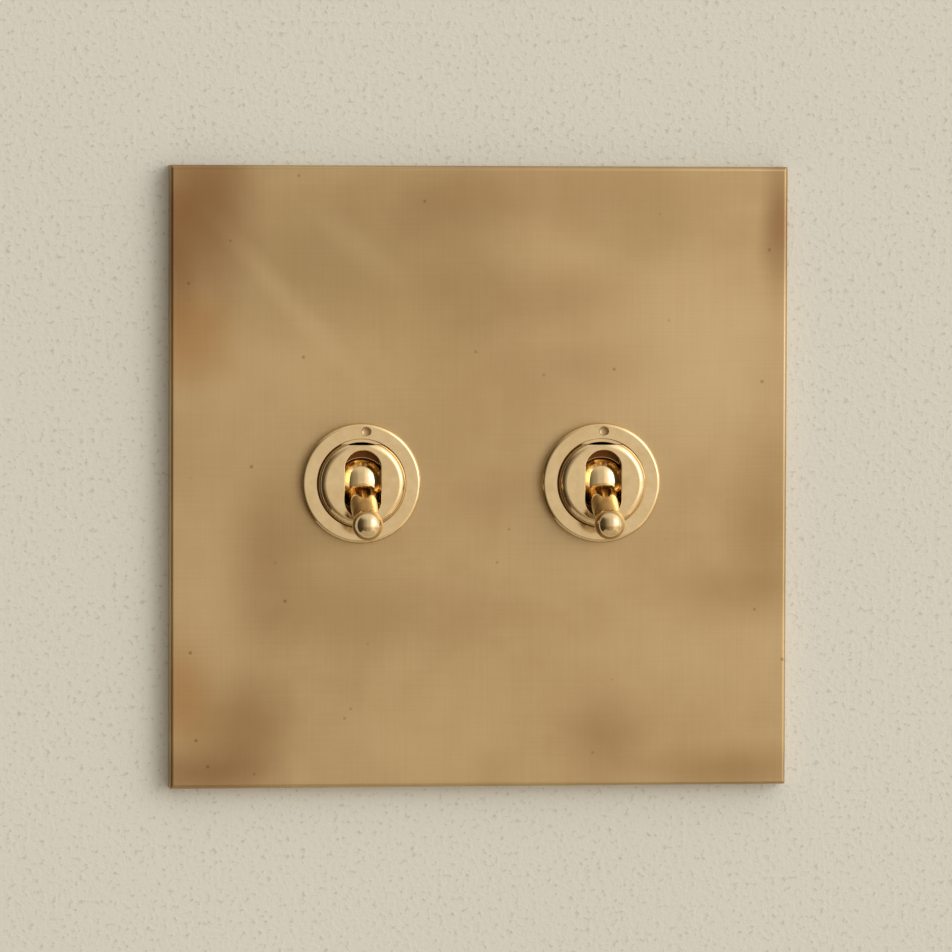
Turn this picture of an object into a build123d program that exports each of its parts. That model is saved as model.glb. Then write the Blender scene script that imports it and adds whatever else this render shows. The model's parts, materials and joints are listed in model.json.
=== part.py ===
from build123d import *
import os
from math import atan2, cos, degrees, radians, sin, tan

# A two-gang light switch of aged brass: a square face plate without visible screws, and two
# dolly toggles held by ring nuts. Behind the plate a steel yoke carries two changeover switches.
# Millimetres. X points right, Y into the wall and Z up. The origin is the middle of the plate's
# back face, which lies on the wall.

# Face plate
plate_side = 86.0
plate_thickness = 3.0
plate_edge_round = 0.6
plate_hole_clearance = 0.2

# Places of the two switches
switch_spacing = 33.4
switch_drop = 0.8
SIDES = {"left": -1, "right": 1}

# Threaded bush, with a flat on top and an upright slot for the lever
bush_diameter = 12.0
bush_height = 3.8
bush_edge_round = 1.05
bush_flat = 5.35
bush_flange_diameter = 13.6
bush_flange_thickness = 0.8
slot_width = 5.0
slot_height = 9.3
slot_edge_break = 0.15
slot_rear_clearance = 0.25

# Ring nut, with one blind dimple for its spanner
ring_diameter = 16.6
ring_height = 1.8
ring_edge_round = 0.5
ring_bore_clearance = 0.15
ring_bore_chamfer = 0.2
dimple_diameter = 1.4
dimple_depth = 0.75
dimple_circle = 7.2
dimple_turn = {"left": 5.3, "right": 2.8}

# Lock nut between plate and yoke
lock_nut_across_flats = 16.0
lock_nut_thickness = 2.0
lock_nut_chamfer = 30.0
thread_clearance = 0.06

# Yoke of folded steel, and the screws that hold it to the wall box
yoke_width = 70.0
yoke_margin = 3.0
yoke_thickness = 1.5
yoke_corner_round = 3.0
yoke_flange_depth = 4.5
yoke_flange_length = 50.0
yoke_bend_radius = 1.8
yoke_hole_clearance = 0.1
box_screw_spacing = 60.3
box_slot_width = 4.0
box_slot_length = 7.0
box_screw_diameter = 3.5
box_screw_neck_diameter = 3.1
box_screw_neck_length = 2.1
box_screw_length = 25.0
box_screw_head = 6.6
box_screw_head_height = 1.6
box_screw_turn = {"left": 18.0, "right": -40.0}

# Earth clamp and its screw, on the yoke between the switches
earth_height = 12.0
earth_clamp_side = 9.0
earth_clamp_thickness = 1.2
earth_clamp_lip = 1.6
earth_screw_diameter = 3.5
earth_screw_length = 4.2
earth_screw_head = 6.0
earth_screw_head_height = 2.0
earth_screw_turn = 35.0

# Screw heads
screw_slot_width = 0.8
screw_slot_depth = 0.8
screw_head_round = 0.45

# Lever, measured from its pivot
pivot_depth = 4.7
pivot_ball_diameter = 8.6
ball_seat_clearance = 0.5
lever_length = 12.1
lever_tilt = 26.0
tip_ball_diameter = 4.2
neck_diameter = 3.0
root_diameter = 4.0
cone_bulge = 0.12
tail_diameter = 2.4
tail_length = 13.6
pivot_pin_diameter = 1.6
pivot_pin_inset = 0.45
pin_clearance = 0.05

# Follower cap that slides on the lever's tail, and the spring inside it
follower_diameter = 4.6
follower_start = 11.0
follower_reach = 18.0
follower_nose_radius = 1.1
follower_nose_length = 1.8
follower_end_wall = 1.4
follower_travel = 1.0
follower_clearance = 0.05
spring_wire = 0.35
spring_turns = 4.0
spring_clearance = 0.05

# Rocker, a curved brass strip that turns on a pin, and its contact rivets
rocker_pin_setback = 2.3
rocker_turn = 10.0
rocker_gap = 0.3
rocker_thickness = 0.9
rocker_width = 4.4
rocker_overrun = 7.0
rocker_ear_thickness = 0.8
rocker_ear_radius = 1.3
rocker_ear_base = 2.5
rocker_pin_diameter = 1.2
rocker_pin_overhang = 0.2
contact_diameter = 2.2
contact_height = 0.6
contact_shank = 1.2
contact_gap = 0.2

# Moulded housing
housing_width = 17.0
housing_height = 32.0
housing_depth = 20.0
housing_wall = 1.5
housing_rear_wall = 3.5
housing_corner_round = 1.2
barrier_thickness = 1.2
barrier_height = 2.6

# Terminals of brass strip, with a flat plate on the back of the housing
terminal_thickness = 1.0
terminal_width = 4.0
terminal_plate_width = 9.4
terminal_plate_height = 5.5
terminal_bend_radius = 0.4
terminal_slot_clearance = 0.1
outer_post_inset = 8.0
outer_post_reach = 2.2
fork_clearance = 0.2
fork_radius = 1.8
terminal_screw_offset = 4.4
terminal_screw_diameter = 3.0
terminal_screw_length = 3.6
terminal_screw_head = 5.6
terminal_screw_head_height = 1.9
terminal_hole_clearance = 0.2
terminal_hole_depth = 3.0
terminal_screw_turn = (25.0, -50.0, 5.0)

# Steel cradle that wraps the housing and hangs it on the bush
cradle_thickness = 1.0
cradle_leg_width = 11.0
cradle_leg_start = 2.0
cradle_tab_reach = 1.0

# Places along Y, from the front to the back
plate_front = -plate_thickness
ring_front = plate_front - ring_height
bush_front = plate_front - bush_height
pivot_y = bush_front + pivot_depth
yoke_front = lock_nut_thickness
yoke_rear = yoke_front + yoke_thickness
cradle_rear = yoke_rear + cradle_thickness
flange_rear = cradle_rear + bush_flange_thickness
housing_rear = cradle_rear + housing_depth
cavity_rear = housing_rear - housing_rear_wall
plate_face_rear = housing_rear + terminal_thickness
rocker_y = pivot_y + follower_reach + rocker_pin_setback
fork_base = cavity_rear - terminal_thickness

# Heights that follow from the housing
yoke_height = housing_height + 2 * (cradle_thickness + yoke_margin)
outer_post_height = housing_height / 2 - outer_post_inset

# Heights of the terminal plates' folds, upper, common and lower, and which way each plate goes
TERMINALS = {
    "upper": (outer_post_height, 1),
    "common": (terminal_thickness, -1),
    "lower": (-outer_post_height, -1),
}


def slab(outline, front, rear):
    """An outline drawn in the front view, as thick as from front to rear."""
    return extrude(Plane.XZ.offset(-rear) * outline, rear - front)


def turned(profile):
    """A turned piece. Its half outline is drawn as radius and Y."""
    return revolve(make_face(profile), Axis.Y)


def cross_bar(radius, length):
    """A round bar along X, at the middle."""
    return extrude(Plane.YZ * Circle(radius), length / 2, both=True)


def side_view(outline, width):
    """An outline drawn in the side view, as Y and Z, with its width along X."""
    return extrude(Plane.YZ * outline, width / 2, both=True)


def folded(path, thickness, width, side):
    """A strip of sheet metal folded along a path in the side view."""
    return side_view(make_face(offset(path, thickness, side=side, kind=Kind.ARC)), width)


def at_switch(piece, side):
    """Moves a piece from the switch's own axis to its place behind the plate."""
    return Pos(SIDES[side] * switch_spacing / 2, 0, -switch_drop) * piece


def bush_outline(clearance):
    """The round outline of the bush with its flat, as for a keyed hole."""
    size = bush_diameter + 2 * clearance
    above_flat = Pos(0, bush_flat + clearance + size / 2) * Rectangle(size, size)
    return Circle(size / 2) - above_flat


def pan_screw(head, head_height, shank, length, turn):
    """A slotted pan-head screw along Y, with its seat at Y=0 and its head in front."""
    seat = slab(Circle(head / 2), -head_height, 0)
    seat = fillet(seat.edges().sort_by(Axis.Y)[0], screw_head_round)
    slot = slab(Rectangle(head, screw_slot_width), -head_height, screw_slot_depth - head_height)
    return Rot(Y=turn) * (seat - slot) + slab(Circle(shank / 2), 0, length)


def face_plate():
    """The square brass plate, with its front edges rounded over."""
    plate = slab(Rectangle(plate_side, plate_side), plate_front, 0)
    front_edges = plate.faces().sort_by(Axis.Y)[0].edges()
    plate = fillet(front_edges, plate_edge_round)
    hole = slab(Circle(bush_diameter / 2 + plate_hole_clearance), plate_front, 0)
    for side in SIDES:
        plate -= at_switch(hole, side)
    return plate


def ring_nut(side):
    """The round nut that clamps the plate, with its blind dimple near the top."""
    outer = ring_diameter / 2
    bore = bush_diameter / 2 + ring_bore_clearance
    ring = slab(Circle(outer) - Circle(bore), ring_front, plate_front)
    front_edges = ring.faces().sort_by(Axis.Y)[0].edges().sort_by(SortBy.RADIUS)
    ring = fillet(front_edges[-1], ring_edge_round)
    front_edges = ring.faces().sort_by(Axis.Y)[0].edges().sort_by(SortBy.RADIUS)
    ring = chamfer(front_edges[0], ring_bore_chamfer)
    dimple = slab(Pos(0, dimple_circle) * Circle(dimple_diameter / 2), ring_front,
                  ring_front + dimple_depth)
    return ring - Rot(Y=dimple_turn[side]) * dimple


def bush():
    """The threaded bush, which carries the lever and passes through plate, yoke and cradle."""
    barrel = slab(Circle(bush_diameter / 2), bush_front, cradle_rear)
    barrel = fillet(barrel.edges().sort_by(Axis.Y)[0], bush_edge_round)
    barrel &= slab(bush_outline(0), bush_front, cradle_rear)
    barrel += slab(Circle(bush_flange_diameter / 2), cradle_rear, flange_rear)
    barrel -= slab(SlotOverall(slot_height, slot_width, rotation=90), bush_front, flange_rear)
    slot_edges = barrel.faces().sort_by(Axis.Y)[0].inner_wires()[0].edges()
    barrel = chamfer(slot_edges, slot_edge_break)
    barrel -= ball_seat() + tail_sweep()
    return barrel - Pos(0, pivot_y, 0) * cross_bar(pivot_pin_diameter / 2, bush_diameter)


def ball_seat():
    """The round seat of the lever's ball, open to the back so that the ball goes in there."""
    radius = pivot_ball_diameter / 2 + ball_seat_clearance
    return Pos(0, pivot_y, 0) * Sphere(radius) + slab(Circle(radius), pivot_y, flange_rear)


def tail_sweep():
    """The wedge that the lever's tail needs at the back of the bush, as wide as the slot."""
    half_tail = (tail_diameter / 2 + slot_rear_clearance) / cos(radians(lever_tilt))
    reach = flange_rear - pivot_y
    half_height = reach * sin(radians(lever_tilt)) / cos(radians(lever_tilt)) + half_tail
    wedge = Polyline((pivot_y, half_tail), (flange_rear, half_height), (flange_rear, -half_height),
                     (pivot_y, -half_tail), close=True)
    return side_view(make_face(wedge), tail_diameter + 2 * slot_rear_clearance)


def lock_nut():
    """The hexagon nut that holds the switch to the yoke, with its corners turned off."""
    flat = lock_nut_across_flats / 2
    corner = flat / cos(radians(30))
    fall = (corner - flat) * tan(radians(lock_nut_chamfer))
    hexagon = RegularPolygon(flat, 6, major_radius=False)
    bore = Circle(bush_diameter / 2 + thread_clearance)
    blank = turned(Polyline((0, 0), (flat, 0), (corner, fall), (corner, lock_nut_thickness - fall),
                            (flat, lock_nut_thickness), (0, lock_nut_thickness), close=True))
    return slab(hexagon - bore, 0, lock_nut_thickness) & blank


def yoke():
    """The steel plate behind the face plate, with its long edges folded back."""
    half = yoke_height / 2
    depth = yoke_front + yoke_flange_depth
    path = FilletPolyline((depth, half), (yoke_front, half), (yoke_front, -half), (depth, -half),
                          radius=yoke_bend_radius)
    plate = folded(path, yoke_thickness, yoke_width, Side.LEFT)
    outline = fillet(Rectangle(yoke_width, 2 * yoke_height).vertices(), yoke_corner_round)
    end = (yoke_width - yoke_flange_length) / 2
    notch = slab(Rectangle(end, yoke_height), yoke_rear, depth)
    corner_cut = slab(Rectangle(yoke_width, yoke_height)
                      - fillet(Rectangle(yoke_width, yoke_height).vertices(), yoke_corner_round),
                      yoke_front, yoke_rear)
    plate &= slab(outline, yoke_front, depth)
    for direction in SIDES.values():
        plate -= Pos(direction * (yoke_width - end) / 2, 0, 0) * notch
        plate -= slab(Pos(direction * box_screw_spacing / 2, 0)
                      * SlotOverall(box_slot_length, box_slot_width), yoke_front, yoke_rear)
    plate -= corner_cut
    for side in SIDES:
        plate -= at_switch(slab(bush_outline(yoke_hole_clearance), yoke_front, yoke_rear), side)
    tapped = Circle(earth_screw_diameter / 2 + thread_clearance)
    return plate - slab(Pos(0, earth_height) * tapped, yoke_front, yoke_rear)


def box_screws():
    """The two screws that hold the yoke to the wall box, each with a plain neck by its head."""
    screws = []
    for side, direction in SIDES.items():
        screw = pan_screw(box_screw_head, box_screw_head_height, box_screw_neck_diameter,
                          box_screw_neck_length, box_screw_turn[side])
        screw += slab(Circle(box_screw_diameter / 2), box_screw_neck_length, box_screw_length)
        screws.append(Pos(direction * box_screw_spacing / 2, yoke_front, 0) * screw)
    return Compound(screws)


def earth_clamp():
    """The brass saddle that grips the earth wire, with two lips turned back."""
    half = earth_clamp_side / 2
    rear = yoke_rear + earth_clamp_thickness
    saddle = slab(Rectangle(earth_clamp_side, earth_clamp_side), yoke_rear, rear)
    lip = slab(Rectangle(earth_clamp_thickness, earth_clamp_side), rear, rear + earth_clamp_lip)
    for direction in SIDES.values():
        saddle += Pos(direction * (half - earth_clamp_thickness / 2), 0, 0) * lip
    saddle = fillet(saddle.edges().filter_by(Axis.Z).group_by(Axis.Y)[0],
                    earth_clamp_thickness / 2)
    bore = Circle(earth_screw_diameter / 2 + terminal_hole_clearance)
    return Pos(0, 0, earth_height) * (saddle - slab(bore, yoke_rear, rear))


def earth_screw():
    """The earth screw, with its head towards the back."""
    screw = pan_screw(earth_screw_head, earth_screw_head_height, earth_screw_diameter,
                      earth_screw_length, earth_screw_turn)
    return Pos(0, yoke_rear + earth_clamp_thickness, earth_height) * Rot(Z=180) * screw


def lever():
    """The turned brass lever: ball tip, bulging cone, pivot ball and tail, in one piece."""
    root = root_diameter / 2
    neck = neck_diameter / 2
    tail = tail_diameter / 2
    ball = pivot_ball_diameter / 2
    tip = tip_ball_diameter / 2
    tail_joint = (ball ** 2 - tail ** 2) ** 0.5
    root_joint = (ball ** 2 - root ** 2) ** 0.5
    neck_joint = lever_length - (tip ** 2 - neck ** 2) ** 0.5
    cone_middle = ((root + neck) / 2 + cone_bulge, -(root_joint + neck_joint) / 2)
    profile = Polyline((0, tail_length), (tail, tail_length), (tail, tail_joint))
    profile += ThreePointArc((tail, tail_joint), (ball, 0), (root, -root_joint))
    profile += ThreePointArc((root, -root_joint), cone_middle, (neck, -neck_joint))
    profile += ThreePointArc((neck, -neck_joint), (tip, -lever_length),
                             (0, -lever_length - tip))
    profile += Line((0, -lever_length - tip), (0, tail_length))
    piece = turned(profile)
    piece -= cross_bar(pivot_pin_diameter / 2 + pin_clearance, pivot_ball_diameter)
    return Pos(0, pivot_y, 0) * Rot(X=lever_tilt) * piece


def pivot_pin():
    """The pin that the lever turns on, pressed into the bush."""
    length = bush_diameter - 2 * pivot_pin_inset
    return Pos(0, pivot_y, 0) * cross_bar(pivot_pin_diameter / 2, length)


def follower_cap():
    """The nylon cap on the lever's tail, with a round nose that pushes the rocker over."""
    outer = follower_diameter / 2
    nose_base = follower_reach - follower_nose_length
    nose_side = sin(radians(60)) * follower_nose_radius
    nose_joint = follower_reach - follower_nose_radius / 2
    profile = Polyline((0, follower_start), (outer, follower_start), (outer, nose_base),
                       (nose_side, nose_joint))
    profile += ThreePointArc((nose_side, nose_joint),
                             (sin(radians(30)) * follower_nose_radius,
                              follower_reach - (1 - cos(radians(30))) * follower_nose_radius),
                             (0, follower_reach))
    profile += Line((0, follower_reach), (0, follower_start))
    bore = Circle(tail_diameter / 2 + follower_clearance)
    cap = turned(profile) - slab(bore, follower_start, follower_reach - follower_end_wall)
    return Pos(0, pivot_y, 0) * Rot(X=lever_tilt) * cap


def follower_spring():
    """The coil spring between the end of the tail and the bottom of the cap."""
    room = follower_reach - follower_end_wall - tail_length - 2 * spring_clearance - spring_wire
    radius = tail_diameter / 2 - spring_wire / 2 - spring_clearance
    coil = Helix(room / spring_turns, room, radius)
    wire = Plane(coil @ 0, z_dir=coil % 0) * Circle(spring_wire / 2)
    spring = sweep(wire, coil, is_frenet=True)
    start = tail_length + spring_clearance + spring_wire / 2
    return Pos(0, pivot_y, 0) * Rot(X=lever_tilt) * Pos(0, start, 0) * Rot(X=-90) * spring


def nose_seen_from_rocker(tilt, turn):
    """The middle of the follower's nose, from the rocker's pin and in the rocker's own frame."""
    reach = follower_reach - follower_nose_radius
    nose = Vector(pivot_y - rocker_y + reach * cos(radians(tilt)), reach * sin(radians(tilt)))
    return nose.rotate(Axis.Z, turn)


def rocker_curve():
    """Centre, radius and half angle of the arc that clears the nose over the whole travel."""
    middle = nose_seen_from_rocker(0, 0)
    end = nose_seen_from_rocker(lever_tilt, rocker_turn)
    sag = middle.X - end.X
    path_radius = (end.Y ** 2 + sag ** 2) / (2 * sag)
    centre = middle.X - path_radius
    half_angle = degrees(atan2(end.Y, end.X - centre))
    return centre, path_radius + follower_nose_radius + rocker_gap, half_angle


def on_rocker(radius, angle):
    """A point in the side view, given from the centre of the rocker's arc."""
    centre = rocker_curve()[0]
    return centre + radius * cos(radians(angle)), radius * sin(radians(angle))


def contact_rivet(shank_length):
    """A silver contact rivet along Y, with its head behind Y=0 and its shank in front."""
    return (slab(Circle(contact_diameter / 2), 0, contact_height)
            + slab(Circle(contact_shank / 2), -shank_length, 0))


def rocker_places():
    """The two places of the moving contacts, on the back of the rocker's strip."""
    _, radius, half_angle = rocker_curve()
    places = []
    for angle in (half_angle, -half_angle):
        y, z = on_rocker(radius + rocker_thickness, angle)
        places.append(Pos(0, y, z) * Rot(X=angle))
    return places


def in_rocker_seat(piece):
    """Puts a piece of the rocker on its pin, turned as the lowered lever leaves it."""
    return Pos(0, rocker_y, 0) * Rot(X=-rocker_turn) * piece


def rocker():
    """The curved brass strip that changes over, with two ears on its back for the pin."""
    _, inner, half_angle = rocker_curve()
    outer = inner + rocker_thickness
    end = half_angle + rocker_overrun
    strip = Polyline(on_rocker(outer, end), on_rocker(inner, end))
    strip += ThreePointArc(on_rocker(inner, end), on_rocker(inner, 0), on_rocker(inner, -end))
    strip += Polyline(on_rocker(inner, -end), on_rocker(outer, -end))
    strip += ThreePointArc(on_rocker(outer, -end), on_rocker(outer, 0), on_rocker(outer, end))
    body = side_view(make_face(strip), rocker_width)
    front = on_rocker((inner + outer) / 2, degrees(rocker_ear_base / outer))[0]
    ear_outline = make_hull((Pos(0, 0) * Circle(rocker_ear_radius)).edges()
                            + Line((front, -rocker_ear_base), (front, rocker_ear_base)).edges())
    ear = side_view(ear_outline, rocker_ear_thickness)
    for direction in SIDES.values():
        body += Pos(direction * (rocker_width - rocker_ear_thickness) / 2, 0, 0) * ear
    body -= cross_bar(rocker_pin_diameter / 2 + pin_clearance, rocker_width)
    for place in rocker_places():
        body -= place * slab(Circle(contact_shank / 2), -rocker_thickness, 0)
    return in_rocker_seat(body)


def rocker_contacts():
    """The two contact rivets that travel with the rocker."""
    rivets = [place * contact_rivet(rocker_thickness) for place in rocker_places()]
    return in_rocker_seat(Compound(rivets))


def rocker_pin():
    """The pin through the rocker's ears, pressed into the fork of the common terminal."""
    length = rocker_width + 2 * (fork_clearance + terminal_thickness + rocker_pin_overhang)
    return Pos(0, rocker_y, 0) * cross_bar(rocker_pin_diameter / 2, length)


def fixed_contact_place():
    """Where the upper fixed contact's head lies on its post, which faces the closed contact."""
    _, radius, half_angle = rocker_curve()
    height = radius + rocker_thickness + 2 * contact_height + contact_gap
    y, z = on_rocker(height, half_angle)
    seat = Vector(y, z).rotate(Axis.Z, -rocker_turn)
    return rocker_y + seat.X, seat.Y, half_angle - rocker_turn


def outer_post():
    """The upper terminal's strip, from its bent contact end through the wall to its plate."""
    y, z, angle = fixed_contact_place()
    along = Vector(-sin(radians(angle)), cos(radians(angle)))
    tip = Vector(y, z) + along * outer_post_reach
    fold = Vector(y, z) - along * ((z - outer_post_height) / along.Y)
    path = FilletPolyline((tip.X, tip.Y), (fold.X, fold.Y), (housing_rear, fold.Y),
                          radius=terminal_bend_radius)
    strip = folded(path, terminal_thickness, terminal_width, Side.LEFT)
    hole = slab(Circle(contact_shank / 2), 0, terminal_thickness)
    return strip - Pos(0, y, z) * Rot(X=angle) * hole


def terminal_plate(name):
    """The flat plate on the back of the housing, where the wire is clamped."""
    fold, direction = TERMINALS[name]
    middle = fold + direction * terminal_plate_height / 2
    start = -terminal_width / 2
    plate = Pos(start + terminal_plate_width / 2, middle) * Rectangle(terminal_plate_width,
                                                                      terminal_plate_height)
    hole = Pos(terminal_screw_offset, middle) * Circle(terminal_screw_diameter / 2
                                                       + thread_clearance)
    return slab(plate - hole, housing_rear, plate_face_rear)


def outer_terminal(name):
    """The upper or lower terminal. The lower one's strip is the upper one's, mirrored."""
    post = outer_post()
    if name == "lower":
        post = mirror(post, Plane.XY)
    return post + terminal_plate(name)


def common_terminal():
    """The common terminal, whose fork holds the rocker's pin."""
    inner = rocker_width / 2 + fork_clearance
    outer = inner + terminal_thickness
    base = slab(Rectangle(2 * outer, 2 * fork_radius), fork_base, cavity_rear)
    ear_outline = (Pos(rocker_y, 0) * Circle(fork_radius)
                   + Pos((rocker_y + cavity_rear) / 2, 0) * Rectangle(cavity_rear - rocker_y,
                                                                     2 * fork_radius))
    ear_outline -= Pos(rocker_y, 0) * Circle(rocker_pin_diameter / 2)
    ear = side_view(ear_outline, terminal_thickness)
    for direction in SIDES.values():
        base += Pos(direction * (inner + outer) / 2, 0, 0) * ear
    tang = slab(Pos(0, terminal_thickness / 2) * Rectangle(terminal_width, terminal_thickness),
                cavity_rear, housing_rear)
    return base + tang + terminal_plate("common")


def fixed_contacts():
    """The two silver rivets on the ends of the outer terminals."""
    y, z, angle = fixed_contact_place()
    head = slab(Circle(contact_diameter / 2), -contact_height, 0)
    shank = slab(Circle(contact_shank / 2), 0, terminal_thickness)
    upper = Pos(0, y, z) * Rot(X=angle) * (head + shank)
    return Compound([upper, mirror(upper, Plane.XY)])


def terminal_screws():
    """The three wire screws, with their heads towards the back."""
    screws = []
    for (fold, direction), turn in zip(TERMINALS.values(), terminal_screw_turn):
        screw = pan_screw(terminal_screw_head, terminal_screw_head_height,
                          terminal_screw_diameter, terminal_screw_length, turn)
        height = fold + direction * terminal_plate_height / 2
        screws.append(Pos(terminal_screw_offset, plate_face_rear, height) * Rot(Z=180) * screw)
    return Compound(screws)


def housing():
    """The moulded case, open at the front, with barriers between the terminals."""
    outline = Rectangle(housing_width, housing_height)
    body = slab(fillet(outline.vertices(), housing_corner_round), cradle_rear, housing_rear)
    room = Rectangle(housing_width - 2 * housing_wall, housing_height - 2 * housing_wall)
    body -= slab(room, cradle_rear, cavity_rear)
    gap = 2 * terminal_slot_clearance
    for fold, direction in TERMINALS.values():
        tang = direction * terminal_thickness / 2
        slot = Pos(0, fold + tang) * Rectangle(terminal_width + gap, terminal_thickness + gap)
        screw_hole = (Pos(terminal_screw_offset, fold + direction * terminal_plate_height / 2)
                      * Circle(terminal_screw_diameter / 2 + terminal_hole_clearance))
        body -= slab(slot, cavity_rear, housing_rear)
        body -= slab(screw_hole, housing_rear - terminal_hole_depth, housing_rear)
    common_end = terminal_thickness - terminal_plate_height
    for low, high in ((terminal_thickness, outer_post_height), (-outer_post_height, common_end)):
        barrier = Pos(0, (low + high) / 2) * Rectangle(housing_width, barrier_thickness)
        body += slab(barrier, housing_rear, housing_rear + barrier_height)
    return body


def cradle():
    """The steel strap round the housing, held under the bush's flange."""
    half = housing_height / 2
    tab = half - cradle_tab_reach
    path = Polyline((housing_rear, tab), (housing_rear, half), (cradle_rear, half),
                    (cradle_rear, -half), (housing_rear, -half), (housing_rear, -tab))
    strap = folded(path, cradle_thickness, housing_width, Side.RIGHT)
    side_cut = (housing_width - cradle_leg_width) / 2
    cut = slab(Rectangle(side_cut, housing_height + 4 * cradle_thickness),
               cradle_rear + cradle_leg_start, plate_face_rear)
    for direction in SIDES.values():
        strap -= Pos(direction * (housing_width - side_cut) / 2, 0, 0) * cut
    return strap - slab(bush_outline(yoke_hole_clearance), yoke_rear, cradle_rear)


def main():
    """Writes one file for each piece."""
    pieces = {
        "faceplate": face_plate(),
        "yoke": yoke(),
        "box_screws": box_screws(),
        "earth_clamp": earth_clamp(),
        "earth_screw": earth_screw(),
    }
    switch = {
        "bush": bush(),
        "lock_nut": lock_nut(),
        "lever": lever(),
        "pivot_pin": pivot_pin(),
        "follower_cap": follower_cap(),
        "follower_spring": follower_spring(),
        "rocker": rocker(),
        "rocker_contacts": rocker_contacts(),
        "rocker_pin": rocker_pin(),
        "terminal_upper": outer_terminal("upper"),
        "terminal_common": common_terminal(),
        "terminal_lower": outer_terminal("lower"),
        "fixed_contacts": fixed_contacts(),
        "terminal_screws": terminal_screws(),
        "housing": housing(),
        "cradle": cradle(),
    }
    for side in SIDES:
        pieces[f"ring_nut_{side}"] = at_switch(ring_nut(side), side)
        for name, piece in switch.items():
            pieces[f"{name}_{side}"] = at_switch(piece, side)
    os.makedirs("parts", exist_ok=True)
    for name, piece in pieces.items():
        export_step(piece, f"parts/{name}.step")
    print(f"{len(pieces)} pieces written")


main()
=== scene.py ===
# %% [markdown]
# # A two-gang toggle light switch of aged brass
# The construction is already there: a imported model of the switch, with every piece in its place
# and every moving piece on its own body. This script gives the pieces their finish. Brass that is
# turned and polished shows every flat facet, so the turned pieces that face the room are modelled
# again here, smoother, in exactly the same place. The folded and moulded pieces behind the plate
# get copies with softened edges.

# %% Load the frame
import json
from math import atan2, cos, degrees, pi, radians, sqrt, tan

import bmesh
import bpy
from mathutils import Matrix, Quaternion, Vector


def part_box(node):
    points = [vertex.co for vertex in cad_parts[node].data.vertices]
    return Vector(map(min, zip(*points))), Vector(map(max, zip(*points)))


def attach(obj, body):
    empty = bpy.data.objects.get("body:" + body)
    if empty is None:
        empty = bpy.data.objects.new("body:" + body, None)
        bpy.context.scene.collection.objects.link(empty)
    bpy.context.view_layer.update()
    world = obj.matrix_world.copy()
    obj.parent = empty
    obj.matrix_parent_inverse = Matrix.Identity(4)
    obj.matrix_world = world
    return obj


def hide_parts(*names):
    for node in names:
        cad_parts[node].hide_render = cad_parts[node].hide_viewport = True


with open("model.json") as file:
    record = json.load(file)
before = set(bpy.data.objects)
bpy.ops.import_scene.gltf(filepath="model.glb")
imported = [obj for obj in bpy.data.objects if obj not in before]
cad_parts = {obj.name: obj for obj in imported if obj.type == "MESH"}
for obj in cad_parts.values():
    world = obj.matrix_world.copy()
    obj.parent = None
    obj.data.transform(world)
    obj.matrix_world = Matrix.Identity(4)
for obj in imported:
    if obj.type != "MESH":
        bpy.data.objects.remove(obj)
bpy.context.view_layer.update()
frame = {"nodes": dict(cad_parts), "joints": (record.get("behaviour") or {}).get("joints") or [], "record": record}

MM = 0.001
SIDES = ("left", "right")
joints = {joint["name"]: joint for joint in frame["joints"]}
print("nodes:", len(frame["nodes"]), "joints:", len(joints))

# %% [markdown]
# ## Sizes
# Everything is drawn in millimetres about the switch's own axis and made metres at the end, which
# keeps the numbers readable. The places come from the frame, so a piece can't drift away from the
# one that it stands for.

# %% Sizes read from the frame
pivot = {side: Vector(joints[f"toggle_{side}"]["pos_m"]) / MM for side in SIDES}
lever_tilt = joints["toggle_left"]["range_deg"][1] / 2


def box_mm(node):
    """The lowest and highest corner of a node, in millimetres."""
    low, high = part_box(node)
    return Vector(low) / MM, Vector(high) / MM


plate_low, plate_high = box_mm("faceplate")
ring_low, ring_high = box_mm("ring_nut_left")
bush_low, bush_high = box_mm("bush_left")
ring_radius = (ring_high.x - ring_low.x) / 2
ring_front, ring_back = ring_low.y, ring_high.y
bush_front, bush_back = bush_low.y, bush_high.y
print("plate", plate_high - plate_low, "ring radius", ring_radius, "tilt", lever_tilt)

# %% Sizes of the visible details
bush_radius = 6.0
bush_edge = 1.05
bush_flat = 5.35
bush_flange_radius = 6.8
bush_flange_start = 4.5
slot_width = 5.0
slot_height = 9.3
slot_depth = 2.3
slot_polish = 3.6
slot_edge = 0.12
ring_thread = 5.6
ring_mouth = 6.2
ring_mouth_depth = 0.75
ring_ledge = 0.12
ring_edge = 0.5
ring_back_edge = 0.1
dimple_radius = 0.62
dimple_depth = 1.0
dimple_circle = 7.2
dimple_turn = {"left": 5.3, "right": 2.8}
plate_edge = 0.6
plate_side_edge = 0.12
plate_hole = 6.2
lever_length = 12.1
tip_radius = 2.1
neck_radius = 1.5
root_radius = 2.0
pivot_ball_radius = 4.3
ball_seat = 4.4
tail_radius = 1.2
tail_length = 13.6
cone_bulge = 0.12
pin_hole = 0.85
turning_steps = 144

# %% [markdown]
# ## Helpers for modelling
# A turned piece is half an outline spun round its axis, just as it is cut on a lathe. The outline
# starts as one vertex. A straight run extrudes it, and a round run spins it about the centre of
# the curve, so no curve is written out as a list of points.

# %% Outlines and turning


def draw(mesh, start, *moves):
    """Draws an outline of radius (X) and length (Y): to a point, or round a centre by degrees."""
    tip = mesh.verts.new((start[0], start[1], 0))
    for move in moves:
        if len(move) == 2:
            tip = bmesh.ops.extrude_vert_indiv(mesh, verts=[tip])["verts"][0]
            tip.co = (move[0], move[1], 0)
        else:
            x, y, angle, steps = move
            spun = bmesh.ops.spin(mesh, geom=[tip], cent=(x, y, 0), axis=(0, 0, 1), dvec=(0, 0, 0),
                                  angle=radians(angle), steps=steps, use_duplicate=False)
            tip = spun["geom_last"][0]
    return tip


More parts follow.
